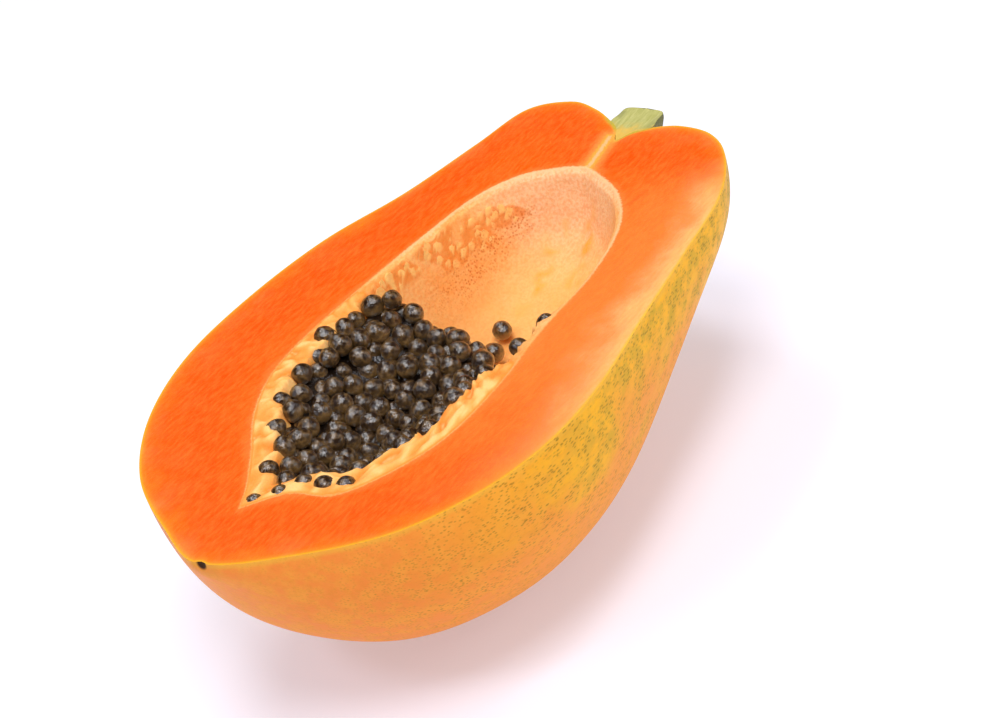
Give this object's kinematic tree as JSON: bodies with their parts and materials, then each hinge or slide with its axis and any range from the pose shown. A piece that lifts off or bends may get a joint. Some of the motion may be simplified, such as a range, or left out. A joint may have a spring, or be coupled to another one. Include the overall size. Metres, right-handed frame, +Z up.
{
  "type": "papaya",
  "caption": "Ripe papaya half, cut lengthwise and lying on its back, with the open seed cavity, dark glossy seeds and the halved stem stub showing.",
  "frame": {"origin": "middle of the footprint's bounding box, on the surface that the fruit rests on", "axes": "+X along the fruit towards the stem, +Z up out of the level cut face, +Y to the left of someone looking from the blossom end to the stem"},
  "size_m": [0.2224, 0.139, 0.0711],
  "materials": {
    "flesh": "satin",
    "stem": "matte",
    "seed": "gloss"
  },
  "bodies": {
    "root": {"half_fruit": "flesh", "stem_stub": "stem", "seed_cluster": "seed", "stray_seed_1": "seed", "stray_seed_2": "seed", "stray_seed_3": "seed", "stray_seed_4": "seed"}
  },
  "joints": []
}
